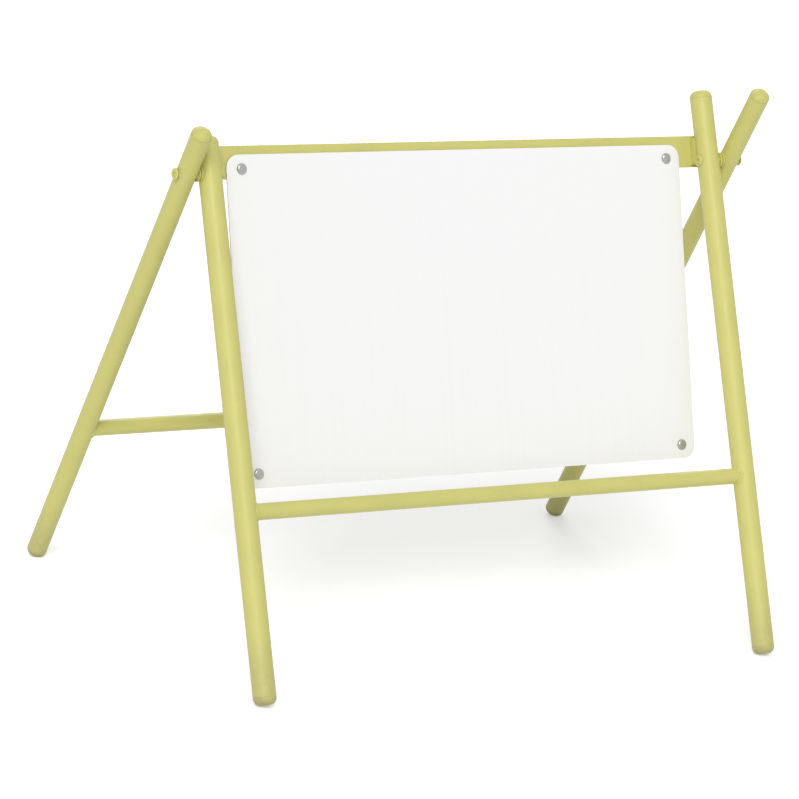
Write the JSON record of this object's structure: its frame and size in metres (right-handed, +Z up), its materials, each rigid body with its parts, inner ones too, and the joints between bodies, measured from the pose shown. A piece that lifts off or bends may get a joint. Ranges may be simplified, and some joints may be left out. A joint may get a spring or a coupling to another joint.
{
  "type": "a-frame sign",
  "caption": "Folding A-frame floor sign: a blank round-cornered panel bolted to a tubular front frame, with a rear frame hinged outside it near the top.",
  "frame": {"origin": "on the floor, midway between the legs and below the hinge line", "axes": "+X along the panel to the viewer's right when facing it, +Y from the panel to the rear frame, +Z up"},
  "size_m": [1.2456, 0.8308, 1.0212],
  "materials": {
    "frame_paint": "satin powder coat, pale yellow",
    "plug_plastic": "moulded, pale yellow",
    "panel_sheet": "white stove enamel on sheet",
    "zinc_steel": "zinc plated",
    "nylon": "natural nylon"
  },
  "bodies": {
    "front_frame": {"front_left_leg": "frame_paint", "front_left_cap": "plug_plastic", "front_left_foot": "plug_plastic", "front_left_bush": "frame_paint", "front_right_leg": "frame_paint", "front_right_cap": "plug_plastic", "front_right_foot": "plug_plastic", "front_right_bush": "frame_paint", "hinge_spacer_left": "nylon", "hinge_barrel_left": "frame_paint", "hinge_screw_left": "frame_paint", "rail_saddle_left": "frame_paint", "rail_screw_left_outer": "zinc_steel", "rail_screw_left_inner": "zinc_steel", "panel_bolt_top_left": "zinc_steel", "panel_washer_top_left": "zinc_steel", "panel_nut_top_left": "zinc_steel", "panel_bolt_bottom_left": "zinc_steel", "panel_washer_bottom_left": "zinc_steel", "panel_nut_bottom_left": "zinc_steel", "hinge_spacer_right": "nylon", "hinge_barrel_right": "frame_paint", "hinge_screw_right": "frame_paint", "rail_saddle_right": "frame_paint", "rail_screw_right_outer": "zinc_steel", "rail_screw_right_inner": "zinc_steel", "panel_bolt_top_right": "zinc_steel", "panel_washer_top_right": "zinc_steel", "panel_nut_top_right": "zinc_steel", "panel_bolt_bottom_right": "zinc_steel", "panel_washer_bottom_right": "zinc_steel", "panel_nut_bottom_right": "zinc_steel", "lower_rail": "frame_paint", "top_rail": "frame_paint", "panel_stiffener": "frame_paint", "sign_panel": "panel_sheet"},
    "rear_frame": {"rear_left_leg": "frame_paint", "rear_left_cap": "plug_plastic", "rear_left_foot": "plug_plastic", "rear_left_bush": "frame_paint", "rear_right_leg": "frame_paint", "rear_right_cap": "plug_plastic", "rear_right_foot": "plug_plastic", "rear_right_bush": "frame_paint", "rear_rail": "frame_paint"}
  },
  "joints": [
    {"name": "rear_frame_fold", "type": "hinge", "parent": "front_frame", "child": "rear_frame", "pos_m": [0, 0, 0.864], "axis": [-1, 0, 0], "range_deg": [0, 46.5]}
  ]
}
